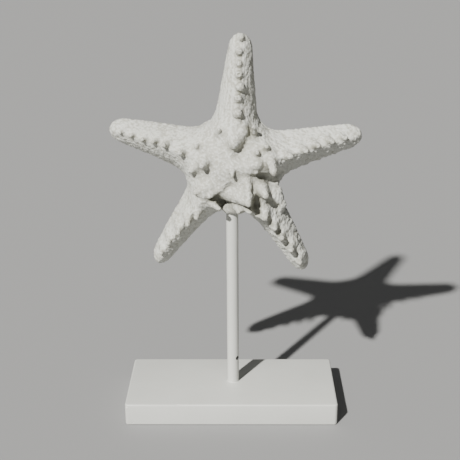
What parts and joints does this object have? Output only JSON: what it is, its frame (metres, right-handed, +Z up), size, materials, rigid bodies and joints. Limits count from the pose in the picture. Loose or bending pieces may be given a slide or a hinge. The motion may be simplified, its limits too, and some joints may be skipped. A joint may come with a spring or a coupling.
{
  "type": "mounted dried starfish",
  "caption": "Painted knobby starfish held upright on a round dowel in a small rounded block, as a free-standing ornament",
  "frame": {"origin": "middle of the underside of the block, on the surface that it stands on", "axes": "+Z up, the knobby face of the star faces -Y, the long side of the block runs along X"},
  "size_m": [0.2301, 0.094, 0.3557],
  "materials": {
    "star_paint": "matte off-white paint over the dried granular skin of the animal",
    "rod_paint": "satin off-white paint, brushed along a wooden dowel",
    "base_paint": "satin off-white paint, brushed on a wooden block with eased edges"
  },
  "bodies": {
    "root": {"starfish": "star_paint", "rod": "rod_paint", "base": "base_paint"}
  },
  "joints": []
}
